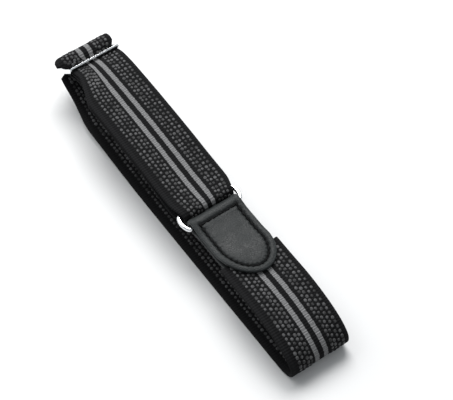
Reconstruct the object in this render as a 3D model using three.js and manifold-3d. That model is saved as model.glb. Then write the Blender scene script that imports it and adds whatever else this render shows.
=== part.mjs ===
// Sleeve garter: a loop of elastic webbing with a three-bar slide, a wire ring and a folded leather tab.
// Millimetres, +Z up. X runs along the flattened loop, from the slide (-X) to the plain fold (+X), and Y
// across the webbing. The loop lies on its lower layer, and the origin is under the middle of it.

import * as THREE from "three";
import { mergeVertices } from "three/addons/utils/BufferGeometryUtils.js";
import Module from "manifold-3d";

// Webbing
const WEBBING_WIDTH = 25;
const WEBBING_THICKNESS = 1.4;
const CLEARANCE = 0.3;
const SPACING_ALONG_PATH = 0.8;
const LARGEST_BEND = THREE.MathUtils.degToRad(9);
const LONGEST_STEP = 1.7;

// Wire ring: two bars across the webbing, joined by bowed ends with tight corners
const WIRE_RADIUS = 0.85;
const RING_HEIGHT = 16.7;
const RING_WEBBING_BAR_X = 5.2;
const RING_LEATHER_BAR_X = 12;
const RING_HALF_WIDTH = 12.4;
const RING_CORNER_RADIUS = 1.3;
const RING_END_RADIUS = 6;
const RING_YAW = THREE.MathUtils.degToRad(2);
const RING_STEPS = 76;
const WIRE_SIDES = 10;

// Slide: sheet metal with two slots, its sides bent down into walls, tilted towards the end of the loop
const SLIDE_CENTRE = new THREE.Vector3(-75.4, 1.5, 15.5);
const SLIDE_TILT = THREE.MathUtils.degToRad(46.5);
const SLIDE_LENGTH = 15.6;
const SLIDE_WIDTH = 22.6;
const SLIDE_THICKNESS = 0.8;
const SLIDE_BAR = 1.5;
const SLIDE_WALL_DEPTH = 2.4;
const SLIDE_BEND_RADIUS = 1.2;
const SLOT_INSET = 0.9;

// Leather tab: two leaves round the ring's bar, with the webbing's end between them
const LEATHER_THICKNESS = 1.3;
const TAB_WIDTH = 21.2;
const TAB_END_X = 41.8;
const TAB_SHOULDER_X = 27.8;
const TAB_LEAN = 1.2;
const TAB_END_STEPS = 28;
const LEATHER_TURN_INNER_RADIUS = 1.5;
const LEATHER_TURN_STEPS = 14;
const LEAF_GAP_AT_WEBBING = WEBBING_THICKNESS / 2 + CLEARANCE;
const LEAF_GAP_CLOSED = 0.4;
const WEBBING_END_X = 32.4;

// Path of the webbing seen from the side: the height of its middle at each station along X
const FOLD_STATIONS = [
  // [x, z]
  [WEBBING_END_X, RING_HEIGHT],
  [38.2, RING_HEIGHT],
  [43.4, 16.7],
  [49.4, 16.8],
  [55.4, 16.3],
  [61.5, 15.2],
  [66.7, 13.6],
  [71.3, 11.3],
  [74.4, 8.2],
  [75.1, 5.2],
  [73.8, 2.6],
  [70.6, 1.1],
  [65.5, WEBBING_THICKNESS / 2],
];
const LOWER_STATIONS = [
  [36, WEBBING_THICKNESS / 2],
  [5, WEBBING_THICKNESS / 2],
  [-12.3, WEBBING_THICKNESS / 2],
  [-21.4, 0.9],
  [-32.4, 1.6],
  [-45.2, 2.6],
  [-56.4, 3.4],
  [-63.8, 4.2],
  [-69.4, 5.6],
  [-73.5, 7.5],
  [-76.6, 9.9],
];
// The loose round over the slide's middle bar, from the lower slot to the upper one
const HUMP_STATIONS = [
  [-78.4, 12.3],
  [-79.2, 15.0],
  [-78.8, 17.9],
  [-77.1, 20.2],
  [-74.9, 20.7],
  [-73.5, 19.8],
  [-72.3, 18.7],
];
const UPPER_STATIONS = [
  [-69.2, 19.1],
  [-66, 20.3],
  [-60, 21.1],
  [-50, 21.2],
  [-40, 21.0],
  [-30, 20.6],
  [-20, 20.0],
  [-11, 19.2],
  [-3, 18.7],
];
const RING_TURN = { x: 5.9, z: RING_HEIGHT - 0.2, radius: 2.2 };
// The layer below the upper one, back to the slide's middle bar, and its sewn end below that
const RETURN_STATIONS = [
  [-3, 15.3],
  [-12, 17.0],
  [-20, 18.2],
  [-30, 18.9],
  [-40, 19.3],
  [-50, 19.5],
  [-60, 19.4],
  [-66, 18.4],
  [-70, 17.1],
];
const SEWN_WRAP = { radius: 1.85, from: 65, to: 290 };
const SEWN_END_STATIONS = [
  [-71.5, 14.3],
  [-66.5, 16.6],
  [-60, 17.6],
  [-52, 17.7],
];

// The webbing is drawn in at the ring, and more at the slide, whose slots lie towards its far edge
const RING_PINCH = { x: 8.5, share: 0.13, reach: 4.5 };
const SLIDE_PINCH = { nearShare: 0.33, farShare: 0.09, full: 10, none: 26 };
// Over the slots it springs out again, more at the front of its round than behind, and a little below them
const ROUND_RELEASE = { hold: 1.9, free: 3.2, behind: 0.35, from: 0.5, to: 4 };
const LOWER_RELEASE = { hold: 3.5, free: 4.7, from: 2, to: 5, share: 0.45 };

// Points on an arc, in the side view, from one angle to another in degrees
function arcPoints(centreX, centreZ, radius, from, to, steps) {
  const points = [];
  for (let step = 0; step <= steps; step += 1) {
    const angle = THREE.MathUtils.degToRad(from + ((to - from) * step) / steps);
    points.push(new THREE.Vector3(centreX + radius * Math.cos(angle), 0, centreZ + radius * Math.sin(angle)));
  }
  return points;
}

function stationPoints(stations) {
  return stations.map(([x, z]) => new THREE.Vector3(x, 0, z));
}

// The webbing's whole path: tab, fold, lower layer, over the slide, upper layer, ring, and back to the slide
function webbingPath() {
  const points = [
    ...stationPoints(FOLD_STATIONS),
    ...stationPoints(LOWER_STATIONS),
    ...stationPoints(HUMP_STATIONS),
    ...stationPoints(UPPER_STATIONS),
    ...arcPoints(RING_TURN.x, RING_TURN.z, RING_TURN.radius, 90, -90, 9),
    ...stationPoints(RETURN_STATIONS),
    ...arcPoints(SLIDE_CENTRE.x, SLIDE_CENTRE.z, SEWN_WRAP.radius, SEWN_WRAP.from, SEWN_WRAP.to, 9),
    ...stationPoints(SEWN_END_STATIONS),
  ];
  return new THREE.CatmullRomCurve3(points, false, "centripetal");
}

// Points along the path, close together only where it bends
function pathSamples(curve) {
  const fine = curve.getSpacedPoints(Math.round(curve.getLength() / SPACING_ALONG_PATH));
  for (const point of fine) point.z = Math.max(point.z, WEBBING_THICKNESS / 2);
  const heading = (i) => fine[Math.min(i + 1, fine.length - 1)].clone().sub(fine[Math.max(i - 1, 0)]);
  const samples = [{ point: fine[0], heading: heading(0) }];
  for (let i = 1; i < fine.length - 1; i += 1) {
    const last = samples.at(-1);
    const bend = heading(i).angleTo(last.heading);
    if (bend > LARGEST_BEND || fine[i].distanceTo(last.point) > LONGEST_STEP) {
      samples.push({ point: fine[i], heading: heading(i) });
    }
  }
  samples.push({ point: fine.at(-1), heading: heading(fine.length - 1) });
  return samples;
}

// A side-view outline (x, z) made solid across the webbing's width
function extrudeAcross(outline, width) {
  const shape = new THREE.Shape(outline.map(([x, z]) => new THREE.Vector2(x, z)));
  const geometry = new THREE.ExtrudeGeometry(shape, { depth: width, bevelEnabled: false });
  return geometry.rotateX(Math.PI / 2).translate(0, width / 2, 0);
}

// How far the webbing's near and far edges are drawn in beside the slide, as shares of their full draw
function slideHold(x, z) {
  const fromX = x - SLIDE_CENTRE.x;
  const fromZ = z - SLIDE_CENTRE.z;
  const along = fromX * Math.cos(SLIDE_TILT) + fromZ * Math.sin(SLIDE_TILT);
  const above = fromZ * Math.cos(SLIDE_TILT) - fromX * Math.sin(SLIDE_TILT);
  const { smoothstep, lerp } = THREE.MathUtils;
  const beside = 1 - smoothstep(Math.hypot(fromX, fromZ), SLIDE_PINCH.full, SLIDE_PINCH.none);
  const release = smoothstep(above, ROUND_RELEASE.hold, ROUND_RELEASE.free);
  const front = lerp(ROUND_RELEASE.behind, 1, smoothstep(along, ROUND_RELEASE.from, ROUND_RELEASE.to));
  const lower = smoothstep(-fromZ, LOWER_RELEASE.from, LOWER_RELEASE.to);
  const below = lower * smoothstep(-above, LOWER_RELEASE.hold, LOWER_RELEASE.free);
  const near = 1 - release * front - LOWER_RELEASE.share * below;
  return { near: beside * near, far: beside * (1 - release) };
}

function pinch(geometry) {
  const position = geometry.attributes.position;
  for (let i = 0; i < position.count; i += 1) {
    const [x, y, z] = [position.getX(i), position.getY(i), position.getZ(i)];
    const held = slideHold(x, z);
    const slideDraw = y < 0 ? SLIDE_PINCH.nearShare * held.near : SLIDE_PINCH.farShare * held.far;
    const away = (x - RING_PINCH.x) / RING_PINCH.reach;
    const ringHold = z > RING_HEIGHT / 2 ? Math.exp(-away * away) : 0;
    position.setY(i, y * (1 - slideDraw) * (1 - RING_PINCH.share * ringHold));
  }
  geometry.computeVertexNormals();
  return geometry;
}

function elasticBand() {
  const near = [];
  const far = [];
  for (const { point, heading } of pathSamples(webbingPath())) {
    const length = Math.hypot(heading.x, heading.z);
    const offsetX = (-heading.z / length) * (WEBBING_THICKNESS / 2);
    const offsetZ = (heading.x / length) * (WEBBING_THICKNESS / 2);
    near.push([point.x + offsetX, point.z + offsetZ]);
    far.push([point.x - offsetX, point.z - offsetZ]);
  }
  return pinch(extrudeAcross([...near, ...far.reverse()], WEBBING_WIDTH));
}

// The slide's section across the webbing: a flat top with both sides bent down
function slideSection() {
  const half = SLIDE_WIDTH / 2;
  const top = SLIDE_THICKNESS / 2;
  const foot = top - SLIDE_WALL_DEPTH;
  const inner = half - SLIDE_THICKNESS;
  const innerRadius = SLIDE_BEND_RADIUS - SLIDE_THICKNESS;
  const bend = half - SLIDE_BEND_RADIUS;
  const bendHeight = top - SLIDE_BEND_RADIUS;
  const section = new THREE.Shape();
  section.moveTo(half, foot);
  section.lineTo(half, bendHeight);
  section.absarc(bend, bendHeight, SLIDE_BEND_RADIUS, 0, Math.PI / 2);
  section.lineTo(-bend, top);
  section.absarc(-bend, bendHeight, SLIDE_BEND_RADIUS, Math.PI / 2, Math.PI);
  section.lineTo(-half, foot);
  section.lineTo(-inner, foot);
  section.lineTo(-inner, bendHeight);
  section.absarc(-bend, bendHeight, innerRadius, Math.PI, Math.PI / 2, true);
  section.lineTo(bend, top - SLIDE_THICKNESS);
  section.absarc(bend, bendHeight, innerRadius, Math.PI / 2, 0, true);
  section.lineTo(inner, foot);
  return section;
}

function slideAdjuster(wasm) {
  const channel = new THREE.ExtrudeGeometry(slideSection(), {
    depth: SLIDE_LENGTH,
    bevelEnabled: false,
    curveSegments: 5,
  });
  channel.rotateX(Math.PI / 2).translate(0, SLIDE_LENGTH / 2, 0).rotateZ(Math.PI / 2);
  const slotLength = (SLIDE_LENGTH - 3 * SLIDE_BAR) / 2;
  let plate = toManifold(wasm, channel);
  for (const side of [-1, 1]) {
    const slot = new THREE.BoxGeometry(slotLength, SLIDE_WIDTH - 2 * SLOT_INSET, 3 * SLIDE_THICKNESS);
    slot.translate((side * (slotLength + SLIDE_BAR)) / 2, 0, SLIDE_THICKNESS / 2);
    plate = plate.subtract(toManifold(wasm, slot));
  }
  const geometry = fromManifold(plate);
  geometry.rotateY(-SLIDE_TILT);
  return geometry.translate(SLIDE_CENTRE.x, SLIDE_CENTRE.y, SLIDE_CENTRE.z);
}

// The ring's centre line: two straight bars and two bowed ends, each joined to the bars by tight rounds
function ringLoop() {
  const halfX = (RING_LEATHER_BAR_X - RING_WEBBING_BAR_X) / 2;
  const centre = new THREE.Vector3((RING_LEATHER_BAR_X + RING_WEBBING_BAR_X) / 2, 0, RING_HEIGHT);
  const upright = new THREE.Vector3(0, 0, 1);
  const cornerX = halfX - RING_CORNER_RADIUS;
  const endY = RING_HALF_WIDTH - RING_END_RADIUS;
  const cornerY = endY + Math.sqrt((RING_END_RADIUS - RING_CORNER_RADIUS) ** 2 - cornerX ** 2);
  const lean = Math.atan2(cornerY - endY, cornerX);
  const outline = new THREE.Shape();
  outline.moveTo(halfX, -cornerY);
  outline.lineTo(halfX, cornerY);
  outline.absarc(cornerX, cornerY, RING_CORNER_RADIUS, 0, lean);
  outline.absarc(0, endY, RING_END_RADIUS, lean, Math.PI - lean);
  outline.absarc(-cornerX, cornerY, RING_CORNER_RADIUS, Math.PI - lean, Math.PI);
  outline.lineTo(-halfX, -cornerY);
  outline.absarc(-cornerX, -cornerY, RING_CORNER_RADIUS, Math.PI, Math.PI + lean);
  outline.absarc(0, -endY, RING_END_RADIUS, Math.PI + lean, 2 * Math.PI - lean);
  outline.absarc(cornerX, -cornerY, RING_CORNER_RADIUS, -lean, 0);
  const points = outline.getSpacedPoints(RING_STEPS).slice(0, -1);
  const flat = points.map(({ x, y }) => new THREE.Vector3(x, y, 0));
  const placed = flat.map((point) => point.applyAxisAngle(upright, RING_YAW).add(centre));
  return new THREE.CatmullRomCurve3(placed, true, "centripetal");
}

function wireRing() {
  return new THREE.TubeGeometry(ringLoop(), RING_STEPS, WIRE_RADIUS, WIRE_SIDES, true);
}

// The tab from above: straight sides from the fold, and a round end that leans to the far side
function tabOutline() {
  const pastFoldX = RING_LEATHER_BAR_X - LEATHER_TURN_INNER_RADIUS - LEATHER_THICKNESS - 1;
  const half = TAB_WIDTH / 2;
  const outline = new THREE.Shape();
  outline.moveTo(pastFoldX, -half);
  for (let step = 0; step <= TAB_END_STEPS; step += 1) {
    const angle = (step / TAB_END_STEPS - 0.5) * Math.PI;
    const reach = Math.cos(angle);
    const x = TAB_SHOULDER_X + (TAB_END_X - TAB_SHOULDER_X) * reach;
    outline.lineTo(x, half * Math.sin(angle) + TAB_LEAN * reach);
  }
  outline.lineTo(pastFoldX, half);
  return outline;
}

// The tab from the side: one strip of leather round the ring's bar, opening for the webbing's end
function tabProfile() {
  const leafStations = [
    // [x, half gap between the leaves]
    [RING_LEATHER_BAR_X + 4.5, LEAF_GAP_CLOSED],
    [WEBBING_END_X - 6, LEAF_GAP_CLOSED],
    [WEBBING_END_X - 0.6, LEAF_GAP_AT_WEBBING],
    [TAB_END_X + 1, LEAF_GAP_AT_WEBBING],
  ];
  const leaf = (side, extra) => leafStations.map(([x, gap]) => [x, RING_HEIGHT + side * (gap + extra)]);
  const turn = (radius) => {
    const points = arcPoints(RING_LEATHER_BAR_X, RING_HEIGHT, radius, 80, 280, LEATHER_TURN_STEPS);
    return points.map((point) => [point.x, point.z]);
  };
  return [
    ...leaf(1, LEATHER_THICKNESS).reverse(),
    ...turn(LEATHER_TURN_INNER_RADIUS + LEATHER_THICKNESS),
    ...leaf(-1, LEATHER_THICKNESS),
    ...leaf(-1, 0).reverse(),
    ...turn(LEATHER_TURN_INNER_RADIUS).reverse(),
    ...leaf(1, 0),
  ];
}

function toManifold(wasm, geometry) {
  const bare = geometry.clone();
  bare.deleteAttribute("normal");
  bare.deleteAttribute("uv");
  const merged = mergeVertices(bare, 1e-4);
  return new wasm.Manifold(
    new wasm.Mesh({
      numProp: 3,
      vertProperties: new Float32Array(merged.attributes.position.array),
      triVerts: new Uint32Array(merged.index.array),
    }),
  );
}

function fromManifold(solid) {
  const mesh = solid.getMesh();
  const geometry = new THREE.BufferGeometry();
  geometry.setAttribute("position", new THREE.BufferAttribute(new Float32Array(mesh.vertProperties), 3));
  geometry.setIndex(new THREE.BufferAttribute(new Uint32Array(mesh.triVerts), 1));
  geometry.computeVertexNormals();
  return geometry;
}

function leatherTab(wasm) {
  const strip = extrudeAcross(tabProfile(), TAB_WIDTH + 2);
  const column = new THREE.ExtrudeGeometry(tabOutline(), {
    depth: 2 * RING_HEIGHT,
    bevelEnabled: false,
  });
  return fromManifold(toManifold(wasm, strip).intersect(toManifold(wasm, column)));
}

const wasm = await Module();
wasm.setup();

const webbingMaterial = new THREE.MeshStandardMaterial({ color: 0x232225, roughness: 0.9, metalness: 0 });
const chromeMaterial = new THREE.MeshStandardMaterial({ color: 0xd8dadd, roughness: 0.12, metalness: 1 });
const wireMaterial = new THREE.MeshStandardMaterial({ color: 0xd8dadd, roughness: 0.12, metalness: 1 });
const leatherMaterial = new THREE.MeshStandardMaterial({ color: 0x2a2c2d, roughness: 0.55, metalness: 0 });

function namedMesh(name, geometry, material) {
  const mesh = new THREE.Mesh(geometry, material);
  mesh.name = name;
  return mesh;
}

const garter = new THREE.Group();
garter.add(
  namedMesh("elastic_band", elasticBand(), webbingMaterial),
  namedMesh("slide_adjuster", slideAdjuster(wasm), chromeMaterial),
  namedMesh("wire_ring", wireRing(), wireMaterial),
  namedMesh("leather_tab", leatherTab(wasm), leatherMaterial),
);

// The origin goes under the middle of the loop, on the surface that it lies on
const extent = new THREE.Box3().setFromObject(garter);
const middle = extent.getCenter(new THREE.Vector3());
garter.position.set(-middle.x, -middle.y, -extent.min.z);

export default garter;
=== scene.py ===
"""Sleeve garter lying flattened: woven elastic webbing, a slide, a wire ring and a folded leather tab.

Metres and +Z up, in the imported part's frame. Lengths in the tables below are millimetres: X runs along the
flattened loop, from the slide (-X) to the plain fold (+X), Y across the webbing, and Z up.
"""

import math

import bmesh
import bpy
import numpy as np
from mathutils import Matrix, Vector


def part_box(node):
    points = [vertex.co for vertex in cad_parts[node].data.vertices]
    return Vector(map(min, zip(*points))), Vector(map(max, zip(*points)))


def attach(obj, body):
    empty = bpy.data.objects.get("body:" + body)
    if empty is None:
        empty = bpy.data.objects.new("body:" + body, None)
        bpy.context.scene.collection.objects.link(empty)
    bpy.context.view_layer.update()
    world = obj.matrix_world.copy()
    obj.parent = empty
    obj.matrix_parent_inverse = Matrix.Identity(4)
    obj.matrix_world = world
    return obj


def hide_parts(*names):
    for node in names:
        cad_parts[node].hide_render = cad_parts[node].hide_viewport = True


bl_info = {
    "name": "Sleeve Garter",
    "version": (1, 0, 0),
    "blender": (4, 5, 0),
    "location": "View3D > Sidebar > Sleeve Garter",
    "description": "Builds a sleeve garter of striped elastic webbing with its slide, ring and leather tab",
    "category": "Object",
}

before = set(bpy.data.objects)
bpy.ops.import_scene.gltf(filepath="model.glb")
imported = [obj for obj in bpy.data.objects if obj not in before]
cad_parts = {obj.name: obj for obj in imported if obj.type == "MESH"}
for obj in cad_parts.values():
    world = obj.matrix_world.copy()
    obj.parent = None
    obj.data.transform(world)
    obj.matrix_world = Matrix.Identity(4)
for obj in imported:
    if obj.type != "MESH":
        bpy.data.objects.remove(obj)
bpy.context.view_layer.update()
RING_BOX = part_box("wire_ring")

MM = 0.001
WEBBING_WIDTH = 25.0
LAYER_HALF = 0.7  # half of a layer's height on the floor, which presses its lowest dots a little flat
STATION_STEP = 0.9  # between the webbing's cross-sections
HEADING_REACH = 0.25  # how far to each side a line is read for its heading

WIRE_RADIUS = 0.85
RING_HEIGHT = 16.7
RING_WEBBING_BAR_X = 5.2
RING_LEATHER_BAR_X = 12.0
RING_MIDDLE_X = (RING_WEBBING_BAR_X + RING_LEATHER_BAR_X) / 2
RING_HALF_WIDTH = 12.4
RING_CORNER_RADIUS = 1.3
RING_END_RADIUS = 6.0
RING_YAW = math.radians(2)

SLIDE_CENTRE = np.array([-75.4, 1.8, 15.5])
SLIDE_TILT = math.radians(46.5)
SLIDE_LENGTH = 15.6
SLIDE_WIDTH = 22.0
SLIDE_THICKNESS = 0.62
SLIDE_BAR = 1.5
SLIDE_WALL_DEPTH = 1.9
SLIDE_WALL_DEPTH_AT_ENDS = 1.05
SLIDE_BEND_RADIUS = 0.95
SLIDE_BEND_STEPS = 8
SLIDE_BEVEL_ANGLE = math.radians(50)  # edges sharper than this are rounded
SLIDE_SHADE_ANGLE = math.radians(40)

# How far the webbing is drawn in, as shares of the distance from its middle. A pair is the range over which
# the hold sets in, fades or gives way.
NEAR_DRAW = 0.36
FAR_DRAW = 0.09
HOLD_FADES = (10, 26)  # distance from the slide's middle
ABOVE_PLATE = (0.5, 2.2)
BEHIND_SHARE = 0.35  # how much the near edge springs out behind, where it does in full at the front
ROUND_FRONT = (0.5, 4)
LOWER_SHARE = 0.45
LOWER_BELOW = (2.3, 3.4)  # below the plate, square to it
LOWER_UNDER = (2, 5)  # lower than the slide's middle
FAR_END = (5.8, 7.2)  # along the plate
FAR_BELOW = (0.8, 1.6)
RING_DRAW = 0.13
RING_DRAW_X = 8.5
RING_DRAW_SPREAD = 4.5

TAB_HALF_WIDTH = 10.6
TAB_END_X = 41.8
TAB_SHOULDER_X = 27.8
TAB_ROUND = TAB_END_X - TAB_SHOULDER_X
TAB_LEAN = 1.2
LEATHER_HALF = 0.65
LEATHER_TURN_RADIUS = 2.15
EDGE_HALF = 0.34  # half of the leather's thickness at its cut edge
EDGE_BULGE = 0.1
EDGE_ROUNDING = 0.55
CUT_ANGLES = np.radians([60, 20, -20, -60])  # of the points round the cut edge
RIM_HEIGHT, RIM_INSET, RIM_SPREAD = 0.3, 1.3, 0.8
CUSHION_HEIGHT = 0.18  # of the leather inside its seam
CUSHION_STARTS, CUSHION_FULL = 0.3, 3
# Distances in from the leather's edge, close together where the rim and the seam are
INSETS = np.array([0.12, 0.3, 0.5, 0.75, 1.0, 1.3, 1.6, 1.9, 2.15, 2.4, 2.6, 2.8, 3.0, 3.25, 3.6, 4.1])
MIDDLE_STEPS = 6  # from the last of these to the leather's middle
PARALLEL = 1e-6  # a direction that leans less than this never reaches the middle
WELD_REACH = 0.002
SLIVER = 0.0001  # faces narrower than this are taken out

STITCH_INSET = 2.7
STITCH_CROSSING_X = 13.8
STITCH_CROSSING_GAP = 1.2  # between the crossing's ends and the seam round the edge
STITCH_PITCH = 2.4
STITCH_SINK = 0.4  # below the leather's outer face beside the seam
SEAM_HALF_WIDTH = 0.52
SEAM_DEPTH = 0.65
SEAM_PUCKER = 0.38
SEAM_ENDS_OVER = 1.5  # the length over which the seam round the edge fades past the crossing
CROSSING_ENDS_OVER = 0.9

# The side view of the webbing's middle, (x, z) at each station
FOLD_STATIONS = [
    (32.4, 16.7), (38.2, 16.7), (43.4, 16.7), (49.4, 16.8), (55.4, 16.3), (61.5, 15.2), (66.7, 13.6),
    (71.3, 11.3), (74.4, 8.2), (75.1, 5.2), (73.8, 2.6), (70.6, 1.1), (65.5, 0.7),
]
LOWER_STATIONS = [
    (36, 0.7), (5, 0.7), (-12.3, 0.7), (-21.4, 0.9), (-32.4, 1.6), (-45.2, 2.6), (-56.4, 3.4),
    (-63.8, 4.2), (-69.4, 5.6), (-73.5, 7.5), (-76.6, 9.9),
]
HUMP_STATIONS = [
    (-78.4, 12.3), (-79.2, 15.0), (-78.8, 17.9), (-77.1, 20.2), (-74.9, 20.7), (-73.5, 19.8), (-72.3, 18.7),
]
UPPER_STATIONS = [
    (-69.2, 19.1), (-66, 20.3), (-60, 21.1), (-50, 21.2), (-40, 21.0), (-30, 20.6), (-20, 20.0),
    (-11, 19.2), (-3, 18.7),
]
RING_TURN_CENTRE = (5.9, RING_HEIGHT - 0.2)
RING_TURN_RADIUS = 2.2
RETURN_STATIONS = [
    (-3, 15.3), (-12, 17.0), (-20, 18.2), (-30, 18.9), (-40, 19.3), (-50, 19.5), (-60, 19.4), (-66, 18.4),
    (-70, 17.1),
]
SEWN_WRAP_RADIUS = 1.85
SEWN_END_STATIONS = [(-71.5, 14.3), (-66.5, 16.6), (-60, 17.6), (-52, 17.7)]

# The side view of the leather's middle, before and after its turn round the ring's bar
UPPER_LEAF = [(TAB_END_X, 18.35), (36, 18.35), (31.8, 18.35), (26.4, 17.8), (21, 17.75), (16.8, 17.85)]
LOWER_LEAF = [(x, 2 * RING_HEIGHT - z) for x, z in reversed(UPPER_LEAF)]

DOT_COLUMNS = [4.55, 5.9, 7.6, 9.3]  # distance of each column from the middle of the columns
DOT_OFFSET = 0.6  # how far the dots sit to the far side of the webbing's middle
DOT_START = 0.8
DOT_SINK = 0.02  # of the dots' middles in the webbing's face
STRIPE_MIDDLE = 1.94  # distance of each stripe from the middle of the two
STRIPE_OFFSET = 0.35  # how far the stripes sit to the far side of the webbing's middle
STRIPE_BLUR = 0.12
STRIPE_FRAY = 0.09
SELVAGE_STARTS, SELVAGE_FULL = 10.9, 11.3
GROUND_PITCHES = (1.0, 0.9)  # of the ribs and of the columns
STRIPE_PITCHES = (0.7, 0.5)
RIB_RELIEF, COLUMN_RELIEF, STRIPE_RELIEF = 0.6, 0.2, 0.6  # shares of the weave's bump

GUIDE_STEP = 1.0
GUIDE_END_GAP = 0.6
STITCH_GUIDE_STEP = 0.3
OUTWARD_PROBE = 0.5  # how far off a guide its outward direction is read

# The stage, in metres
CAMERA_AZIMUTH = math.radians(55.06)
CAMERA_ELEVATION = math.radians(57.0)
CAMERA_DISTANCE = 0.6
CAMERA_LENS, CAMERA_SENSOR = 128.21, 36  # millimetres
CAMERA_SHIFT = (0.0762, 0.02565)
LIGHTS = (
    # name, place, size, watts
    ("key", (-0.55, 0.34, 0.9), 0.7, 16.5),
    ("fill", (-0.8, -0.4, 0.85), 0.9, 8.0),
)
SKY_COLOUR = (0.93, 0.97, 1.0, 1.0)
SKY_STRENGTH = 0.5
FLOOR_GAP = 0.00002


def arc(centre, radius, start, end, steps):
    """Points round a centre, between two angles in degrees."""
    angles = np.radians(np.linspace(start, end, steps + 1))
    return [(centre[0] + radius * math.cos(a), centre[1] + radius * math.sin(a)) for a in angles]


def centripetal(points, steps=24):
    """A smooth line through the points, as a centripetal Catmull-Rom spline."""
    points = np.array(points, float)
    ends = np.vstack([2 * points[0] - points[1], points, 2 * points[-1] - points[-2]])
    share = np.linspace(0, 1, steps, endpoint=False)[:, None]
    line = []
    for before, start, end, after in zip(ends, ends[1:], ends[2:], ends[3:]):
        d0, d1, d2 = (math.sqrt(np.linalg.norm(b - a)) for a, b in
                      ((before, start), (start, end), (end, after)))
        leave = ((start - before) / d0 - (end - before) / (d0 + d1) + (end - start) / d1) * d1
        reach = ((end - start) / d1 - (after - start) / (d1 + d2) + (after - end) / d2) * d1
        line.append(
            start + leave * share + (3 * (end - start) - 2 * leave - reach) * share**2
            + (2 * (start - end) + leave + reach) * share**3
        )
    line.append(points[-1:])
    return np.vstack(line)


def run_along(points):
    """The distance along a line of points, at each of them."""
    return np.concatenate([[0], np.cumsum(np.linalg.norm(np.diff(points, axis=0), axis=1))])


def unit(vectors):
    return vectors / np.linalg.norm(vectors, axis=1)[:, None]


def smoothstep(x, low, high):
    t = np.clip((x - low) / (high - low), 0, 1)
    return t * t * (3 - 2 * t)


class SideLine:
    """A line in the side view, read by the distance along it."""

    def __init__(self, points, lowest=None):
        self.points = centripetal(points)
        if lowest is not None:
            self.points[:, 1] = np.maximum(self.points[:, 1], lowest)
        self.along = run_along(self.points)
        self.length = self.along[-1]

    def middle(self, along):
        return np.column_stack([np.interp(along, self.along, self.points[:, k]) for k in (0, 1)])

    def place(self, along, out):
        """Points at a distance along the line and a distance out from it, on its left."""
        behind = self.middle(np.maximum(along - HEADING_REACH, 0))
        ahead = self.middle(np.minimum(along + HEADING_REACH, self.length))
        heading = unit(ahead - behind)
        return self.middle(along) + np.column_stack([-heading[:, 1], heading[:, 0]]) * out[:, None]


def webbing_line():
    return SideLine(
        FOLD_STATIONS
        + LOWER_STATIONS
        + HUMP_STATIONS
        + UPPER_STATIONS
        + arc(RING_TURN_CENTRE, RING_TURN_RADIUS, 90, -90, 9)
        + RETURN_STATIONS
        + arc((SLIDE_CENTRE[0], SLIDE_CENTRE[2]), SEWN_WRAP_RADIUS, 65, 290, 9)
        + SEWN_END_STATIONS,
        lowest=LAYER_HALF,
    )


def leather_line():
    turn = arc((RING_LEATHER_BAR_X, RING_HEIGHT), LEATHER_TURN_RADIUS, 80, 280, 16)
    return SideLine(UPPER_LEAF + turn + LOWER_LEAF)


WEBBING_LINE = webbing_line()
LEATHER_LINE = leather_line()
# The frame's origin is under the middle of the loop, and the ring's box says where that puts the tables' zero
FRAME_SHIFT = np.array([(RING_BOX[0].x + RING_BOX[1].x) / 2 / MM - RING_MIDDLE_X, 0, 0])


def along_leather(x):
    """Distance along the leather, from the upper leaf's tip, of a place on the upper leaf."""
    upper = LEATHER_LINE.along <= LEATHER_LINE.length / 2
    xs, alongs = LEATHER_LINE.points[upper, 0], LEATHER_LINE.along[upper]
    return float(np.interp(-x, -xs, alongs))


CROSSING_ALONG = along_leather(STITCH_CROSSING_X)


def to_frame(points):
    return (points + FRAME_SHIFT) * MM


def slide_hold(x, z):
    """How far the webbing's near and far edges are drawn in at the slide, as shares of their full draw: it
    springs out again over the slots, more at the front of its round than behind, and a little below them."""
    from_x, from_z = x - SLIDE_CENTRE[0], z - SLIDE_CENTRE[2]
    along = from_x * math.cos(SLIDE_TILT) + from_z * math.sin(SLIDE_TILT)
    above = from_z * math.cos(SLIDE_TILT) - from_x * math.sin(SLIDE_TILT)
    beside = 1 - smoothstep(np.hypot(from_x, from_z), *HOLD_FADES)
    release = smoothstep(above, *ABOVE_PLATE)
    near_release = release * (BEHIND_SHARE + (1 - BEHIND_SHARE) * smoothstep(along, *ROUND_FRONT))
    lower_release = LOWER_SHARE * smoothstep(-above, *LOWER_BELOW) * smoothstep(-from_z, *LOWER_UNDER)
    far_release = smoothstep(along, *FAR_END) * smoothstep(-above, *FAR_BELOW)
    return beside * (1 - near_release - lower_release), beside * (1 - release) * (1 - far_release)


def drawn_in(x, across, z):
    """The distance across the webbing, drawn in at the slide and at the ring."""
    near, far = slide_hold(x, z)
    slide = np.where(across < 0, NEAR_DRAW * near, FAR_DRAW * far)
    ring = RING_DRAW * np.exp(-(((x - RING_DRAW_X) / RING_DRAW_SPREAD) ** 2)) * (z > RING_HEIGHT / 2)
    return across * (1 - slide) * (1 - ring)


def webbing_points(along, across, out):
    """Places on the webbing, in millimetres, from distances along it, across it and out from its middle."""
    along, across, out = np.broadcast_arrays(along, across, out)
    along, across, out = (np.array(v, float).ravel() for v in (along, across, out))
    side = WEBBING_LINE.place(along, out)
    return np.column_stack([side[:, 0], drawn_in(side[:, 0], across, side[:, 1]), side[:, 1]])


def leather_points(along, across, out):
    """Places on the leather, whose line runs with the outer face on its right."""
    side = LEATHER_LINE.place(along, -out)
    from_tip = np.minimum(along, LEATHER_LINE.length - along)
    lean = TAB_LEAN * np.clip(1 - from_tip / TAB_ROUND, 0, 1)
    return np.column_stack([side[:, 0], across + lean, side[:, 1]])


def stand(name, data):
    """A new object with this data, in the scene."""
    made = bpy.data.objects.new(name, data)
    bpy.context.scene.collection.objects.link(made)
    return made


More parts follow.
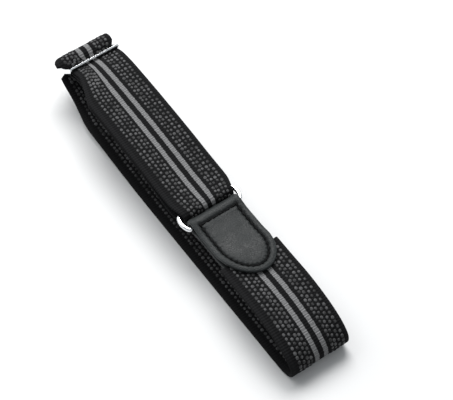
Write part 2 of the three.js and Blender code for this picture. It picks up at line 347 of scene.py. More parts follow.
def rework(mesh, change=None):
    """Makes a change to a smooth mesh, if one is given, and turns its normals outwards."""
    made = bmesh.new()
    made.from_mesh(mesh)
    if change:
        change(made)
    bmesh.ops.recalc_face_normals(made, faces=made.faces)
    made.to_mesh(mesh)
    made.free()
    mesh.shade_smooth()


def make_mesh(name, points, faces):
    """A mesh object from points in the tables' millimetres."""
    mesh = bpy.data.meshes.new(name)
    mesh.from_pydata(to_frame(np.asarray(points)).tolist(), [], faces)
    rework(mesh)
    return stand(name, mesh)


def loft(rows, columns, close_rows=False, close_columns=True):
    """Quads over a grid of rows times columns of points."""
    faces = []
    for r in range(rows if close_rows else rows - 1):
        for c in range(columns if close_columns else columns - 1):
            r1, c1 = (r + 1) % rows, (c + 1) % columns
            faces.append((r * columns + c, r * columns + c1, r1 * columns + c1, r1 * columns + c))
    return faces


def strap_section(half_thickness, corner, across_steps=25, corner_steps=4):
    """The webbing's cross-section as (across, out), once round."""
    straight = WEBBING_WIDTH / 2 - corner
    section = []
    for side, start in ((1, 90), (-1, -90)):
        flat = np.linspace(-side * straight, side * straight, across_steps)
        section += [(y, side * half_thickness) for y in flat[:-1]]
        for angle in np.radians(np.linspace(start, start - 180, corner_steps * 2 + 1)[:-1]):
            section.append((side * straight + corner * math.cos(angle), half_thickness * math.sin(angle)))
    return np.array(section)


def build_webbing(name, thickness, selvage):
    """The webbing along its line, with its flat coordinates in metres as the weave's UVs."""
    section = strap_section(thickness / 2, selvage)
    stations = np.linspace(0, WEBBING_LINE.length, int(WEBBING_LINE.length / STATION_STEP))
    along = np.repeat(stations, len(section))
    across, out = np.tile(section[:, 0], len(stations)), np.tile(section[:, 1], len(stations))
    faces = loft(len(stations), len(section))
    for first in (0, len(along) - len(section)):
        faces.append(tuple(range(first, first + len(section))))
    piece = make_mesh(name, webbing_points(along, across, out), faces)
    weave = piece.data.uv_layers.new(name="weave")
    corners = np.empty(len(piece.data.loops), np.int32)
    piece.data.loops.foreach_get("vertex_index", corners)
    flat = np.column_stack([across + WEBBING_WIDTH / 2, along]) * MM
    weave.data.foreach_set("uv", flat[corners].astype(np.float32).ravel())
    return piece


def tab_edge(round_steps=44, straight_steps=92):
    """One side of the flat leather, from one tip to the other: (along, across), its inward direction, and the
    distance along that direction to the middle."""
    total = LEATHER_LINE.length
    angles = np.linspace(0, math.pi / 2, round_steps)
    tip = np.column_stack([TAB_ROUND * (1 - np.cos(angles)), TAB_HALF_WIDTH * np.sin(angles)])
    inward = unit(np.column_stack([np.cos(angles) / TAB_ROUND, -np.sin(angles) / TAB_HALF_WIDTH]))
    straight = np.linspace(TAB_ROUND, total - TAB_ROUND, straight_steps)[1:-1]
    edge = np.vstack([tip, np.column_stack([straight, np.full_like(straight, TAB_HALF_WIDTH)]),
                      np.column_stack([total - tip[::-1, 0], tip[::-1, 1]])])
    inward = np.vstack([inward, np.tile([0, -1], (len(straight), 1)), inward[::-1] * [-1, 1]])
    with np.errstate(divide="ignore", invalid="ignore"):
        reach = np.where(inward[:, 1] < -PARALLEL, edge[:, 1] / -inward[:, 1], TAB_ROUND)
    reach[[0, -1]] = reach[[1, -2]]
    return edge, inward, reach


def seam_band(distance, run):
    """1 in the middle of a seam, which the thread draws in at every stitch along its run."""
    half = SEAM_HALF_WIDTH * (1 + SEAM_PUCKER * np.cos(2 * math.pi * run / STITCH_PITCH))
    return np.exp(-((distance / half) ** 2))


def seam_share(inset, from_tip, along_edge, across):
    """1 in the middle of the leather's seams, round the edge and across beside the ring."""
    around = seam_band(inset - STITCH_INSET, along_edge)
    around = around * (1 - smoothstep(from_tip, CROSSING_ALONG, CROSSING_ALONG + SEAM_ENDS_OVER))
    crossing = seam_band(from_tip - CROSSING_ALONG, across)
    crossing = crossing * smoothstep(inset, STITCH_INSET - CROSSING_ENDS_OVER, STITCH_INSET)
    return np.maximum(around, crossing)


def leather_height(inset, from_tip, seam):
    """Height of the leather's outer face above its middle."""
    rim = LEATHER_HALF + RIM_HEIGHT * np.exp(-(((inset - RIM_INSET) / RIM_SPREAD) ** 2))
    inside = CUSHION_HEIGHT * smoothstep(inset, STITCH_INSET + CUSHION_STARTS, STITCH_INSET + CUSHION_FULL)
    inside = inside * (1 - smoothstep(from_tip, CROSSING_ALONG - CUSHION_FULL, CROSSING_ALONG))
    return rim + inside - SEAM_DEPTH * seam


def leather_row(edge, inward, reach, along_edge, side):
    """From the middle over the outer face, round the edge and back over the inner face: the points, how far
    in from the edge each lies, and its share of a seam."""
    inset = np.concatenate([INSETS[:-1], np.linspace(INSETS[-1], reach, MIDDLE_STEPS + 1)])
    flat = edge + inward * inset[:, None]
    if abs(inward[1]) > PARALLEL:
        flat[-1, 1] = 0
    from_tip = np.minimum(flat[:, 0], LEATHER_LINE.length - flat[:, 0])
    seam = seam_share(inset, from_tip, along_edge, flat[:, 1])
    height = leather_height(inset, from_tip, seam)
    round_off = np.sqrt(np.clip(1 - (1 - np.minimum(inset / EDGE_ROUNDING, 1)) ** 2, 0, 1))
    outer = EDGE_HALF + (height - EDGE_HALF) * round_off
    inner = -(EDGE_HALF + (LEATHER_HALF - EDGE_HALF) * round_off)
    cut_flat = edge + inward * (EDGE_BULGE - EDGE_BULGE * np.cos(CUT_ANGLES))[:, None]
    row_flat = np.vstack([flat[::-1], cut_flat, flat])
    row_out = np.concatenate([outer[::-1], EDGE_HALF * np.sin(CUT_ANGLES), inner])
    points = leather_points(row_flat[:, 0], side * row_flat[:, 1], row_out)
    zeros = np.zeros(len(CUT_ANGLES))
    return points, np.concatenate([inset[::-1], zeros, inset]), np.concatenate([seam[::-1], zeros, 0 * inset])


def build_leather(name):
    """The folded leather, welded along its middle, with its insets and seams as attributes."""
    edge, inward, reach = tab_edge()
    along_edge = run_along(edge)
    points, insets, seams = zip(*(leather_row(edge[k], inward[k], reach[k], along_edge[k], side)
                                  for side in (1, -1) for k in range(len(edge))))
    rows, columns = len(edge), len(points[0])
    half = loft(rows, columns, close_columns=False)
    faces = half + [tuple(rows * columns + corner for corner in face) for face in half]
    piece = make_mesh(name, np.vstack(points), faces)
    for label, values in (("inset", insets), ("seam", seams)):
        layer = piece.data.attributes.new(label, "FLOAT", "POINT")
        layer.data.foreach_set("value", np.concatenate(values).astype(np.float32))

    def weld(made):
        bmesh.ops.remove_doubles(made, verts=made.verts, dist=WELD_REACH * MM)
        bmesh.ops.dissolve_degenerate(made, edges=made.edges, dist=SLIVER * MM)

    rework(piece.data, weld)
    return piece


def ring_outline(corner_steps=8, end_steps=18):
    """The ring's centre line from above: straight bars, and bowed ends joined to them by tight corners."""
    half_x = (RING_LEATHER_BAR_X - RING_WEBBING_BAR_X) / 2
    corner_x = half_x - RING_CORNER_RADIUS
    end_y = RING_HALF_WIDTH - RING_END_RADIUS
    corner_y = end_y + math.sqrt((RING_END_RADIUS - RING_CORNER_RADIUS) ** 2 - corner_x**2)
    lean = math.degrees(math.atan2(corner_y - end_y, corner_x))
    end = (
        arc((corner_x, corner_y), RING_CORNER_RADIUS, 0, lean, corner_steps)[:-1]
        + arc((0, end_y), RING_END_RADIUS, lean, 180 - lean, end_steps)[:-1]
        + arc((-corner_x, corner_y), RING_CORNER_RADIUS, 180 - lean, 180, corner_steps)
    )
    return np.array(end + [(-x, -y) for x, y in end])


def build_ring(name, sides=20):
    """The ring's wire, round its centre line."""
    turned = np.array([[math.cos(RING_YAW), -math.sin(RING_YAW)], [math.sin(RING_YAW), math.cos(RING_YAW)]])
    line = ring_outline() @ turned.T + [RING_MIDDLE_X, 0]
    heading = unit(np.roll(line, -1, axis=0) - np.roll(line, 1, axis=0))
    points = []
    for (x, y), (hx, hy) in zip(line, heading):
        for angle in np.linspace(0, 2 * math.pi, sides, endpoint=False):
            outward, up = WIRE_RADIUS * math.cos(angle), WIRE_RADIUS * math.sin(angle)
            points.append((x + hy * outward, y - hx * outward, RING_HEIGHT + up))
    return make_mesh(name, points, loft(len(line), sides, close_rows=True))


def slide_section():
    """Pairs of outer and inner points (across, up) over the slide: up one wall, over the top and down the
    other."""
    half, top = SLIDE_WIDTH / 2, SLIDE_THICKNESS / 2
    bend = (half - SLIDE_BEND_RADIUS, top - SLIDE_BEND_RADIUS)
    foot = top - SLIDE_WALL_DEPTH
    outer = arc(bend, SLIDE_BEND_RADIUS, 0, 90, SLIDE_BEND_STEPS)
    inner = arc(bend, SLIDE_BEND_RADIUS - SLIDE_THICKNESS, 0, 90, SLIDE_BEND_STEPS)
    wall = [((half, foot), (half - SLIDE_THICKNESS, foot)), *zip(outer, inner)]
    far = [((-o[0], o[1]), (-i[0], i[1])) for o, i in reversed(wall)]
    return np.array(wall + far)


def build_slide(name, edge):
    """The slide: a bent sheet over a grid of cells, with the cells of its two slots left open."""
    section = slide_section()
    half, bar = SLIDE_LENGTH / 2, SLIDE_BAR
    stations = [-half, -half + bar, -bar / 2, bar / 2, half - bar, half]
    columns, over_top = len(section), len(section) // 2 - 1
    end_foot = SLIDE_THICKNESS / 2 - SLIDE_WALL_DEPTH_AT_ENDS
    at = {}
    points = []
    for r, u in enumerate(stations):
        for c in range(columns):
            for layer in (0, 1):
                at[r, c, layer] = len(points)
                across, up = section[c, layer]
                points.append((u, across, max(up, end_foot) if abs(u) == half else up))

    def solid(r, c):
        inside = 0 <= r < len(stations) - 1 and 0 <= c < columns - 1
        return inside and not (r in (1, 3) and c == over_top)

    faces = []
    for r in range(len(stations) - 1):
        for c in range(columns - 1):
            if not solid(r, c):
                continue
            corners = [(r, c), (r, c + 1), (r + 1, c + 1), (r + 1, c)]
            for layer in (0, 1):
                faces.append(tuple(at[p, q, layer] for p, q in corners))
            for k, beside in enumerate(((r - 1, c), (r, c + 1), (r + 1, c), (r, c - 1))):
                if not solid(*beside):
                    start, end = corners[k], corners[(k + 1) % 4]
                    faces.append((at[(*start, 0)], at[(*end, 0)], at[(*end, 1)], at[(*start, 1)]))
    tilt = np.array([[math.cos(SLIDE_TILT), 0, -math.sin(SLIDE_TILT)], [0, 1, 0],
                     [math.sin(SLIDE_TILT), 0, math.cos(SLIDE_TILT)]])
    piece = make_mesh(name, np.array(points) @ tilt.T + SLIDE_CENTRE, faces)

    def round_edges(made):
        sharp = [e for e in made.edges if len(e.link_faces) == 2 and e.calc_face_angle() > SLIDE_BEVEL_ANGLE]
        bmesh.ops.bevel(made, geom=sharp, offset=edge * MM, segments=5, profile=0.5, affect="EDGES",
                        clamp_overlap=True)

    rework(piece.data, round_edges)
    piece.data.set_sharp_from_angle(angle=SLIDE_SHADE_ANGLE)
    return piece


def guide_lines(name, lines):
    """A mesh of open lines, each with the direction that faces out at each of its points."""
    points = np.vstack([p for p, _ in lines])
    edges, first = [], 0
    for line, _ in lines:
        edges += [(first + k, first + k + 1) for k in range(len(line) - 1)]
        first += len(line)
    mesh = bpy.data.meshes.new(name)
    mesh.from_pydata(to_frame(points).tolist(), edges, [])
    outward = mesh.attributes.new("outward", "FLOAT_VECTOR", "POINT")
    outward.data.foreach_set("vector", np.vstack([o for _, o in lines]).astype(np.float32).ravel())
    return stand(name, mesh)


def guide(place, along, across, out, probe):
    """Points along a guide, and the direction that faces out at each of them."""
    points = place(along, across, out)
    return points, unit(place(along, across, out + probe) - points)


def webbing_guide(across, face, out, start):
    """A guide along one face of the webbing."""
    along = np.arange(start, WEBBING_LINE.length - GUIDE_END_GAP, GUIDE_STEP)
    return guide(webbing_points, along, across, face * out, face * OUTWARD_PROBE)


def leather_guide(flat):
    """A guide sunk in the leather's outer face, from places (along, across) on the flat leather."""
    run = run_along(flat)
    dense = np.arange(0, run[-1], STITCH_GUIDE_STEP)
    along, across = (np.interp(dense, run, flat[:, k]) for k in (0, 1))
    out = np.full(len(dense), LEATHER_HALF - STITCH_SINK)
    return guide(leather_points, along, across, out, OUTWARD_PROBE)


def node_group(name, kind, inputs, outputs):
    """A node tree and its inputs' values. Its outputs are given as (name, type), and its inputs also with a
    default or None."""
    tree = bpy.data.node_groups.new(name, kind)
    for label, socket_type, default in inputs:
        socket = tree.interface.new_socket(name=label, in_out="INPUT", socket_type=socket_type)
        if default is not None:
            socket.default_value = default
    for label, socket_type in outputs:
        tree.interface.new_socket(name=label, in_out="OUTPUT", socket_type=socket_type)
    return tree, tree.nodes.new("NodeGroupInput").outputs


def feed(tree, node, **inputs):
    """Feeds a node's inputs with values or other nodes' outputs; a key's _ stands for a space, and i0 for the
    first input."""
    for key, value in inputs.items():
        numbered = key[0] == "i" and key[1:].isdigit()
        socket = node.inputs[int(key[1:]) if numbered else key.replace("_", " ")]
        if isinstance(value, bpy.types.NodeSocket):
            tree.links.new(value, socket)
        else:
            socket.default_value = value


def add(tree, kind, settings=None, **inputs):
    """The outputs of a new node, with its settings and inputs."""
    node = tree.nodes.new(kind)
    for key, value in (settings or {}).items():
        setattr(node, key, value)
    feed(tree, node, **inputs)
    return node.outputs


def math_node(tree, operation, *values):
    inputs = {f"i{k}": value for k, value in enumerate(values)}
    return add(tree, "ShaderNodeMath", {"operation": operation}, **inputs)[0]


def scaled_vector(tree, vector, scale):
    return add(tree, "ShaderNodeVectorMath", {"operation": "SCALE"}, i0=vector, Scale=scale)[0]


def placed_along(tree, given, shape, scale, stray=(0.0, 0.0, 0.0)):
    """Puts a copy of shape at each pitch along the guides, facing the way they say, and makes it real."""
    curve = add(tree, "GeometryNodeMeshToCurve", Mesh=given["Guides"])
    spaced = add(tree, "GeometryNodeResampleCurve", {"mode": "LENGTH"}, Curve=curve[0], Length=given["Pitch"])
    outward = add(tree, "GeometryNodeInputNamedAttribute", {"data_type": "FLOAT_VECTOR"}, Name="outward")
    tangent = add(tree, "GeometryNodeInputTangent")
    turn = add(tree, "FunctionNodeAxesToRotation", {"primary_axis": "Z", "secondary_axis": "X"},
               i0=outward[0], i1=tangent[0])
    strayed = add(tree, "GeometryNodeSetPosition", Geometry=spaced[0], Offset=stray)
    copies = add(tree, "GeometryNodeInstanceOnPoints", Points=strayed[0], Instance=shape, Rotation=turn[0],
                 Scale=scale)
    real = add(tree, "GeometryNodeRealizeInstances", Geometry=copies[0])
    smooth = add(tree, "GeometryNodeSetShadeSmooth", Geometry=real[0])
    coat = add(tree, "GeometryNodeSetMaterial", Geometry=smooth[0], Material=given["Material"])
    add(tree, "NodeGroupOutput", i0=coat[0])


def guide_tree(name, numbers):
    """A tree that grows geometry on guides, from these numbers, and its inputs' values."""
    kinds = {int: "NodeSocketInt", float: "NodeSocketFloat"}
    inputs = [("Guides", "NodeSocketGeometry", None), ("Material", "NodeSocketMaterial", None)]
    inputs += [(label, kinds[type(value)], value) for label, value in numbers.items()]
    return node_group(name, "GeometryNodeTree", inputs, [("Geometry", "NodeSocketGeometry")])


def thread_dots_tree():
    """Short floats of thread spaced along guides, which vary in size and stray a little along them."""
    tree, given = guide_tree("Thread Dots", {
        "Pitch": 0.002, "Dot Length": 0.001, "Dot Width": 0.001, "Dot Height": 0.0004, "Unevenness": 0.1,
        "Stray": 0.0001, "Seed": 7})

    def random(low, high):
        return add(tree, "FunctionNodeRandomValue", {"data_type": "FLOAT"}, i2=low, i3=high,
                   Seed=given["Seed"])[1]

    ball = add(tree, "GeometryNodeMeshUVSphere", Segments=8, Rings=4, Radius=0.5)
    vary = random(math_node(tree, "SUBTRACT", 1.0, given["Unevenness"]),
                  math_node(tree, "ADD", 1.0, given["Unevenness"]))
    size = add(tree, "ShaderNodeCombineXYZ", X=given["Dot Length"], Y=given["Dot Width"],
               Z=given["Dot Height"])
    reach = math_node(tree, "MULTIPLY", random(-1.0, 1.0), given["Stray"])
    stray = scaled_vector(tree, add(tree, "GeometryNodeInputTangent")[0], reach)
    placed_along(tree, given, ball[0], scaled_vector(tree, size[0], vary), stray)
    return tree


def stitches_tree():
    """Stitches along guides: each a low arch of thread whose two ends go down into the material."""
    tree, given = guide_tree("Stitches", {
        "Pitch": 0.0027, "Stitch Length": 0.0023, "Thread Radius": 0.0003, "Arch": 0.0004, "Depth": 0.0003})
    under = math_node(tree, "MULTIPLY", given["Depth"], -1.0)
    back, front = (math_node(tree, "MULTIPLY", given["Stitch Length"], half) for half in (-0.5, 0.5))
    start = add(tree, "ShaderNodeCombineXYZ", X=back, Z=under)
    end = add(tree, "ShaderNodeCombineXYZ", X=front, Z=under)
    crest = add(tree, "ShaderNodeCombineXYZ", Z=given["Arch"])
    bow = add(tree, "GeometryNodeCurveQuadraticBezier", Resolution=8, Start=start[0], Middle=crest[0],
              End=end[0])
    thread = add(tree, "GeometryNodeCurvePrimitiveCircle", {"mode": "RADIUS"}, Resolution=8,
                 Radius=given["Thread Radius"])
    body = add(tree, "GeometryNodeCurveToMesh", Curve=bow[0], Profile_Curve=thread[0], Fill_Caps=True)
    placed_along(tree, given, body[0], (1.0, 1.0, 1.0))
    return tree


def grown(name, lines, tree, **inputs):
    """Runs a tree on guide lines and returns its result as a plain mesh object."""
    guides = guide_lines(f"{name}_guides", lines)
    modifier = guides.modifiers.new("grow", "NODES")
    modifier.node_group = tree
    sockets = {s.name: s.identifier for s in tree.interface.items_tree if s.in_out == "INPUT"}
    for label, value in inputs.items():
        modifier[sockets[label.replace("_", " ")]] = value
    guides.update_tag()
    bpy.context.view_layer.update()
    depsgraph = bpy.context.evaluated_depsgraph_get()
    mesh = bpy.data.meshes.new_from_object(guides.evaluated_get(depsgraph), preserve_all_data_layers=True,
                                           depsgraph=depsgraph)
    bpy.data.objects.remove(guides)
    mesh.name = name
    if not mesh.polygons:
        raise RuntimeError(f"{name} came out empty")
    return stand(name, mesh)


def rest_on_floor(piece):
    """Presses flat what reaches below the floor's height."""
    points = np.empty(len(piece.data.vertices) * 3, np.float32)
    piece.data.vertices.foreach_get("co", points)
    points[2::3] = np.maximum(points[2::3], 0)
    piece.data.vertices.foreach_set("co", points)
    piece.data.update()


def new_material(name):
    material = bpy.data.materials.new(name)
    material.use_nodes = True
    tree = material.node_tree
    tree.nodes.clear()
    shader = tree.nodes.new("ShaderNodeBsdfPrincipled")
    add(tree, "ShaderNodeOutputMaterial", i0=shader.outputs[0])
    return material, tree, shader


def ramp(tree, value, low, high, start=0.0, end=1.0):
    """Start at low, end at high, and a smooth way from one to the other."""
    return add(tree, "ShaderNodeMapRange", {"interpolation_type": "SMOOTHSTEP"},
               i0=value, i1=low, i2=high, i3=start, i4=end)[0]


def mix_colour(tree, share, first, second):
    return add(tree, "ShaderNodeMix", {"data_type": "RGBA"}, i0=share, i6=first, i7=second)[2]


def rgba(colour, factor=1.0):
    return (colour[0] * factor, colour[1] * factor, colour[2] * factor, 1.0)


def shades(tree, share, colour, first, second):
    """A colour between two multiples of itself."""
    return mix_colour(tree, share, rgba(colour, first), rgba(colour, second))


def object_space(tree):
    return add(tree, "ShaderNodeTexCoord")["Object"]


def noise(tree, where, **inputs):
    return add(tree, "ShaderNodeTexNoise", Vector=where, **inputs)[0]


def bump(tree, height, distance, strength=1.0):
    return add(tree, "ShaderNodeBump", Height=height, Distance=distance, Strength=strength)[0]


def weave_group():
    """Ribs across the webbing and fine columns along it, from its flat coordinates in metres."""
    tree, given = node_group("Webbing Weave", "ShaderNodeTree", [
        ("Flat", "NodeSocketVector", None), ("Rib Pitch", "NodeSocketFloat", 0.001),
        ("Column Pitch", "NodeSocketFloat", 0.0009)],
        [("From Middle", "NodeSocketFloat"), ("Ribs", "NodeSocketFloat"), ("Height", "NodeSocketFloat")])
    flat = add(tree, "ShaderNodeSeparateXYZ", Vector=given["Flat"])

    def wave(distance, pitch):
        turns = math_node(tree, "DIVIDE", distance, pitch)
        return math_node(tree, "SINE", math_node(tree, "MULTIPLY", turns, 2 * math.pi))

    middle = (WEBBING_WIDTH / 2 + STRIPE_OFFSET) * MM
    from_middle = math_node(tree, "ABSOLUTE", math_node(tree, "SUBTRACT", flat[0], middle))
    ribs = ramp(tree, wave(flat[1], given["Rib Pitch"]), -1, 1)
    height = math_node(tree, "ADD", math_node(tree, "MULTIPLY", ribs, RIB_RELIEF),
                       math_node(tree, "MULTIPLY", wave(flat[0], given["Column Pitch"]), COLUMN_RELIEF))
    add(tree, "NodeGroupOutput", From_Middle=from_middle, Ribs=ribs, Height=height)
    return tree


def webbing_material(sizes):
    """Ribbed black elastic, lighter at its selvages, with two finer light stripes that fray a little."""
    material, tree, shader = new_material("woven_elastic")
    flat = add(tree, "ShaderNodeUVMap", {"uv_map": "weave"})[0]
    group = {"node_tree": weave_group()}
    weave, fine = (
        add(tree, "ShaderNodeGroup", group, Flat=flat, Rib_Pitch=rib * MM, Column_Pitch=column * MM)
        for rib, column in (GROUND_PITCHES, STRIPE_PITCHES))
    knots = noise(tree, flat, Scale=1300, Detail=1)
    off_stripe = math_node(tree, "ABSOLUTE",
                           math_node(tree, "SUBTRACT", weave["From Middle"], STRIPE_MIDDLE * MM))
    half, blur, fray = sizes.stripe_width / 2, STRIPE_BLUR * MM, STRIPE_FRAY * MM
    frayed = math_node(tree, "ADD", off_stripe, ramp(tree, knots, 0.3, 0.7, -fray, fray))
    stripe = ramp(tree, frayed, half - blur, half + blur, 1.0, 0.0)
    ground = shades(tree, weave["Ribs"], sizes.ground_colour, 0.65, 1.2)
    selvage = ramp(tree, weave["From Middle"], SELVAGE_STARTS * MM, SELVAGE_FULL * MM, 0.0, 0.35)
    ground = mix_colour(tree, selvage, ground, rgba(sizes.ground_colour, 2.2))
    light = shades(tree, fine["Ribs"], sizes.stripe_colour, 0.72, 1.12)
    light = mix_colour(tree, ramp(tree, knots, 0.35, 0.65, 0.0, 0.3), light, rgba(sizes.stripe_colour, 0.5))
    grain = noise(tree, object_space(tree), Scale=2500)
    colour = mix_colour(tree, ramp(tree, grain, 0.3, 0.7, 0.0, 0.25), mix_colour(tree, stripe, ground, light),
                        rgba((0.01, 0.01, 0.011)))
    relief = math_node(tree, "ADD", weave["Height"], math_node(tree, "MULTIPLY", stripe, STRIPE_RELIEF))
    feed(tree, shader, Base_Color=colour, Roughness=0.85, Specular_IOR_Level=0.06,
         Normal=bump(tree, relief, 0.00018, 0.9))
    return material


def thread_material(name, colour, roughness, fibre_scale, shine):
    """Thread that is lighter and darker in patches, with fine fibres."""
    material, tree, shader = new_material(name)
    where = object_space(tree)
    fibre = noise(tree, where, Scale=fibre_scale, Detail=3)
    tone = shades(tree, ramp(tree, noise(tree, where, Scale=520), 0.35, 0.65), colour, 0.35, 1.65)
    tone = mix_colour(tree, ramp(tree, fibre, 0.3, 0.7, 0.35, 0.0), tone, rgba(colour, 0.4))
    feed(tree, shader, Base_Color=tone, Roughness=roughness, Specular_IOR_Level=shine,
         Normal=bump(tree, fibre, 0.00005))
    return material


def chrome_material(sizes):
    """Bright plated metal with a faint haze."""
    material, tree, shader = new_material("bright_chrome")
    haze = noise(tree, object_space(tree), Scale=900, Detail=4)
    feed(tree, shader, Base_Color=rgba(sizes.metal_colour), Metallic=1.0,
         Roughness=ramp(tree, haze, 0.35, 0.7, 0.06, 0.16), Normal=bump(tree, haze, 0.00002, 0.3))
    return material


def leather_material(sizes):
    """Fine-grained leather with soft wrinkles, painted lighter along its rim for wear and as a painted
    highlight, with painted shade in its seams and in the grain's valleys.
    """
    material, tree, shader = new_material("grained_leather")
    where = object_space(tree)
    pebbles = add(tree, "ShaderNodeTexVoronoi", {"feature": "DISTANCE_TO_EDGE"}, Vector=where, Scale=1300)
    creases = noise(tree, where, Scale=2600)
    cloud = noise(tree, where, Scale=160)
    wrinkles = noise(tree, where, Scale=400, Distortion=1.4)
    inset, seam = (add(tree, "ShaderNodeAttribute", {"attribute_name": name})["Fac"]
                   for name in ("inset", "seam"))
    # painted shade: darker in the grain's valleys, where the bump sinks
    valley_shade = ramp(tree, pebbles["Distance"], 0.0, 0.12, 0.5, 0.0)
    # lighter along the rim: partly wear, partly a painted highlight on the raised rim
    rim = ramp(tree, inset, 0.2, 1.2, 0.5, 0.0)
    # painted shade: the colour is darkened in the seam's sunk groove
    seam_shade = ramp(tree, seam, 0.15, 0.9, 0.0, 0.8)
    colour = shades(tree, ramp(tree, cloud, 0.35, 0.65), sizes.leather_colour, 0.85, 1.15)
    for share, shade in ((valley_shade, 0.4), (rim, 2.0), (seam_shade, 0.2)):
        colour = mix_colour(tree, share, colour, rgba(sizes.leather_colour, shade))
    height = math_node(tree, "ADD", ramp(tree, pebbles["Distance"], 0.0, 0.2),
                       math_node(tree, "MULTIPLY", creases, 0.6))
    height = math_node(tree, "ADD", height, math_node(tree, "MULTIPLY", wrinkles, 4.0))
    feed(tree, shader, Base_Color=colour, Roughness=ramp(tree, cloud, 0.3, 0.7, 0.44, 0.58),
         Specular_IOR_Level=0.25, Normal=bump(tree, height, 0.00006, 0.8))
    return material


def colour_property(name, description, default):
    return bpy.props.FloatVectorProperty(name=name, description=description, default=default, min=0, max=1,
                                         size=3, subtype="COLOR")


def length_property(name, description, default, low, high):
    return bpy.props.FloatProperty(name=name, description=description, default=default, min=low, max=high,
                                   unit="LENGTH", subtype="DISTANCE", precision=5)


class GarterWebbingSettings(bpy.types.PropertyGroup):
    thickness: length_property("Thickness", "Thickness of the webbing between dots", 0.0012, 0.0008, 0.0014)
    selvage: length_property("Selvage", "How far the webbing's edges are rounded", 0.0006, 0.0003, 0.0007)
    stripe_width: length_property("Stripe width", "Width of each light stripe", 0.0018, 0.0005, 0.0025)
    dot_pitch: length_property("Dot pitch", "Distance between dots along the webbing", 0.00182, 0.0015, 0.004)
    dot_length: length_property("Dot length", "Length of a dot along the webbing", 0.00145, 0.0005, 0.0018)
    dot_width: length_property("Dot width", "Width of a dot across the webbing", 0.00128, 0.0005, 0.0015)
    dot_height: length_property("Dot height", "Thickness of a dot, half of it sunk", 0.0004, 0.0001, 0.0006)
    dot_unevenness: bpy.props.FloatProperty(
        name="Dot unevenness", description="How far the dots differ in size", default=0.16, min=0, max=0.5,
        subtype="FACTOR")
    dot_stray: length_property("Dot stray", "How far a dot strays from its place", 0.00022, 0.0, 0.0005)
    ground_colour: colour_property("Ground", "Colour of the black ground", (0.0064, 0.0064, 0.0067))
    stripe_colour: colour_property("Stripes", "Colour of the two stripes", (0.19, 0.19, 0.192))
    dot_colour: colour_property("Dots", "Colour of the dots", (0.052, 0.052, 0.053))


class GarterMetalSettings(bpy.types.PropertyGroup):
    edge: length_property("Plate edge", "Rounding of the slide's edges", 0.00026, 0.00005, 0.00029)
    metal_colour: colour_property("Metal", "Colour of the plated metal", (0.86, 0.87, 0.88))


class GarterLeatherSettings(bpy.types.PropertyGroup):
    stitch_pitch: length_property("Stitch pitch", "Distance from one stitch to the next", STITCH_PITCH * MM,
                                  0.0015, 0.005)
    stitch_length: length_property("Stitch length", "Length of a stitch", 0.0021, 0.001, 0.005)
    thread_radius: length_property("Thread radius", "Radius of the sewing thread", 0.00034, 0.0001, 0.0005)
    leather_colour: colour_property("Leather", "Colour of the leather", (0.0112, 0.0132, 0.0134))
    thread_colour: colour_property("Thread", "Colour of the sewing thread", (0.003, 0.003, 0.0033))


class GarterStageSettings(bpy.types.PropertyGroup):
    floor_colour: colour_property("Floor", "Colour of the floor", (0.6, 0.6, 0.6))
    floor_size: length_property("Floor size", "Side of the square floor", 6.0, 1.0, 20.0)


class GARTER_OT_webbing(bpy.types.Operator):
    """Builds the striped elastic webbing along the loop, with its woven dots"""

    bl_idname = "garter.webbing"
    bl_label = "Webbing"

    def execute(self, context):
        sizes = context.scene.garter_webbing
        strap = build_webbing("woven_webbing", sizes.thickness / MM, sizes.selvage / MM)
        strap.data.materials.append(webbing_material(sizes))
        dots = self.dots(sizes)
        for piece in (strap, dots):
            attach(piece, "root")
        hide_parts("elastic_band")
        return {"FINISHED"}

    def dots(self, sizes):
        """Columns of dots on both faces, every other one set off by half a pitch."""
        out, half_pitch = sizes.thickness / MM / 2 - DOT_SINK, sizes.dot_pitch / MM / 2
        lines = [webbing_guide(side * across + DOT_OFFSET, face, out, DOT_START + k % 2 * half_pitch)
                 for face in (1, -1) for side in (1, -1) for k, across in enumerate(DOT_COLUMNS)]
        dots = grown("webbing_dots", lines, thread_dots_tree(), Pitch=sizes.dot_pitch,
                     Dot_Length=sizes.dot_length, Dot_Width=sizes.dot_width, Dot_Height=sizes.dot_height,
                     Unevenness=sizes.dot_unevenness, Stray=sizes.dot_stray,
                     Material=thread_material("dot_thread", sizes.dot_colour, 0.7, 3500, 0.2))
        rest_on_floor(dots)
        return dots


class GARTER_OT_metal(bpy.types.Operator):
    """Builds the slide's plate and the wire ring"""

    bl_idname = "garter.metal"
    bl_label = "Slide and ring"

    def execute(self, context):
        sizes = context.scene.garter_metal
        chrome = chrome_material(sizes)
        for piece, node in ((build_slide("slide_plate", sizes.edge / MM), "slide_adjuster"),
                            (build_ring("ring_wire"), "wire_ring")):
            piece.data.materials.append(chrome)
            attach(piece, "root")
            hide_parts(node)
        return {"FINISHED"}


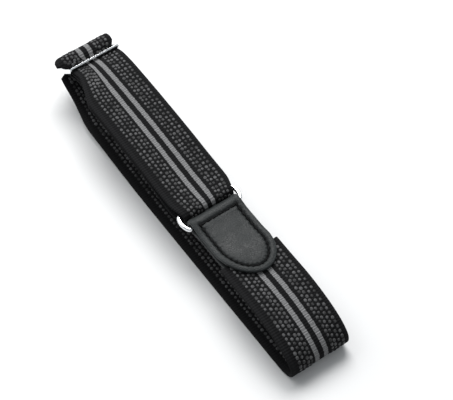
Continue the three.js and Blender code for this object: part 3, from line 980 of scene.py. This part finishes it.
class GARTER_OT_leather(bpy.types.Operator):
    """Builds the folded leather tab and its stitching"""

    bl_idname = "garter.leather"
    bl_label = "Leather tab"

    def execute(self, context):
        sizes = context.scene.garter_leather
        tab = build_leather("folded_leather")
        tab.data.materials.append(leather_material(sizes))
        stitches = self.stitches(sizes)
        for piece in (tab, stitches):
            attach(piece, "root")
        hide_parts("leather_tab")
        return {"FINISHED"}

    def stitches(self, sizes):
        """A seam round each leaf's edge, and one across it beside the ring."""
        edge, inward, _ = tab_edge()
        half = TAB_HALF_WIDTH - STITCH_INSET
        side = edge + inward * STITCH_INSET
        side = np.vstack([side[side[:, 0] < CROSSING_ALONG], [CROSSING_ALONG, half]])
        around = np.vstack([side[::-1], side * [1, -1]])
        crossing_end = half - STITCH_CROSSING_GAP
        across = np.array([[CROSSING_ALONG, -crossing_end], [CROSSING_ALONG, crossing_end]])
        upper = [around, across]
        lower = [np.column_stack([LEATHER_LINE.length - line[:, 0], line[:, 1]]) for line in upper]
        return grown("tab_stitches", [leather_guide(line) for line in upper + lower], stitches_tree(),
                     Pitch=sizes.stitch_pitch, Stitch_Length=sizes.stitch_length,
                     Thread_Radius=sizes.thread_radius,
                     Material=thread_material("sewing_thread", sizes.thread_colour, 0.6, 6000, 0.08))


class GARTER_OT_stage(bpy.types.Operator):
    """Builds the pale floor, the soft lights and the camera"""

    bl_idname = "garter.stage"
    bl_label = "Floor, lights and camera"

    def execute(self, context):
        self.floor(context.scene.garter_stage)
        self.lights(context)
        self.camera(context)
        context.scene.view_settings.view_transform = "Standard"
        return {"FINISHED"}

    def floor(self, sizes):
        half, z = sizes.floor_size / 2, -FLOOR_GAP
        mesh = bpy.data.meshes.new("floor")
        mesh.from_pydata([(-half, -half, z), (half, -half, z), (half, half, z), (-half, half, z)], [],
                         [(0, 1, 2, 3)])
        material, tree, shader = new_material("pale_floor")
        feed(tree, shader, Base_Color=rgba(sizes.floor_colour), Roughness=0.6)
        mesh.materials.append(material)
        stand("floor", mesh)

    def lights(self, context):
        world = bpy.data.worlds.new("soft_studio")
        world.use_nodes = True
        feed(world.node_tree, world.node_tree.nodes["Background"], Color=SKY_COLOUR, Strength=SKY_STRENGTH)
        context.scene.world = world
        for name, place, size, power in LIGHTS:
            data = bpy.data.lights.new(name, "AREA")
            data.shape, data.size, data.energy = "SQUARE", size, power
            light = stand(name, data)
            light.location = place
            light.rotation_euler = (-Vector(place)).to_track_quat("-Z", "Y").to_euler()

    def camera(self, context):
        a, e = CAMERA_AZIMUTH, CAMERA_ELEVATION
        back = Vector((math.sin(a) * math.cos(e), -math.cos(a) * math.cos(e), math.sin(e)))
        data = bpy.data.cameras.new("camera")
        data.lens, data.sensor_width = CAMERA_LENS, CAMERA_SENSOR
        data.shift_x, data.shift_y = CAMERA_SHIFT
        data.clip_start, data.clip_end = 0.05, 50
        camera = stand("camera", data)
        camera.location = back * CAMERA_DISTANCE
        camera.rotation_euler = (-back).to_track_quat("-Z", "Y").to_euler()
        context.scene.camera = camera


OPERATORS = (GARTER_OT_webbing, GARTER_OT_metal, GARTER_OT_leather, GARTER_OT_stage)


class GARTER_PT_panel(bpy.types.Panel):
    """Lists the pieces of the sleeve garter"""

    bl_idname = "GARTER_PT_panel"
    bl_label = "Sleeve Garter"
    bl_space_type = "VIEW_3D"
    bl_region_type = "UI"
    bl_category = "Sleeve Garter"

    def draw(self, context):
        for operator in OPERATORS:
            self.layout.operator(operator.bl_idname)
        for group in SETTINGS:
            box = self.layout.box()
            settings = getattr(context.scene, group)
            for key in settings.bl_rna.properties.keys():
                if key not in ("rna_type", "name"):
                    box.prop(settings, key)


SETTINGS = {
    "garter_webbing": GarterWebbingSettings,
    "garter_metal": GarterMetalSettings,
    "garter_leather": GarterLeatherSettings,
    "garter_stage": GarterStageSettings,
}
CLASSES = (*SETTINGS.values(), *OPERATORS, GARTER_PT_panel)


def register():
    for each in CLASSES:
        bpy.utils.register_class(each)
    for name, group in SETTINGS.items():
        setattr(bpy.types.Scene, name, bpy.props.PointerProperty(type=group))


def unregister():
    for name in SETTINGS:
        delattr(bpy.types.Scene, name)
    for each in reversed(CLASSES):
        bpy.utils.unregister_class(each)


def main():
    register()
    bpy.ops.garter.webbing()
    bpy.ops.garter.metal()
    bpy.ops.garter.leather()
    bpy.ops.garter.stage()


if __name__ == "__main__":
    main()
